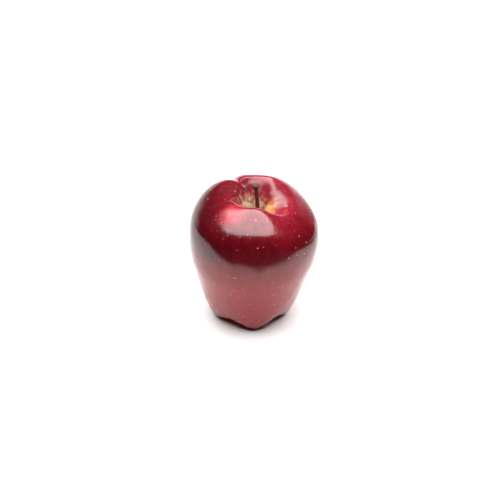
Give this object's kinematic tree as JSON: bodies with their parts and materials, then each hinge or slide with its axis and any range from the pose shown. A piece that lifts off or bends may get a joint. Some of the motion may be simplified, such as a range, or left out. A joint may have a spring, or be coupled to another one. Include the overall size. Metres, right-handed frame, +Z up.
{
  "type": "apple",
  "caption": "Whole fresh apple, tall and tapered, with lobed feet that it stands on, a deep stem cavity, a woody stem and a dried calyx underneath.",
  "frame": {"origin": "middle of the fruit's footprint, on the surface it stands on", "axes": "+Z up, from the calyx end to the stem; -Y is the front"},
  "size_m": [0.0788, 0.0794, 0.0891],
  "materials": {
    "skin": "glossy",
    "bark": "matte",
    "dry_leaf": "matte"
  },
  "bodies": {
    "root": {"fruit": "skin", "stem": "bark", "sepal_1": "dry_leaf", "sepal_2": "dry_leaf", "sepal_3": "dry_leaf", "sepal_4": "dry_leaf", "sepal_5": "dry_leaf", "stamen_tuft": "dry_leaf"}
  },
  "joints": []
}
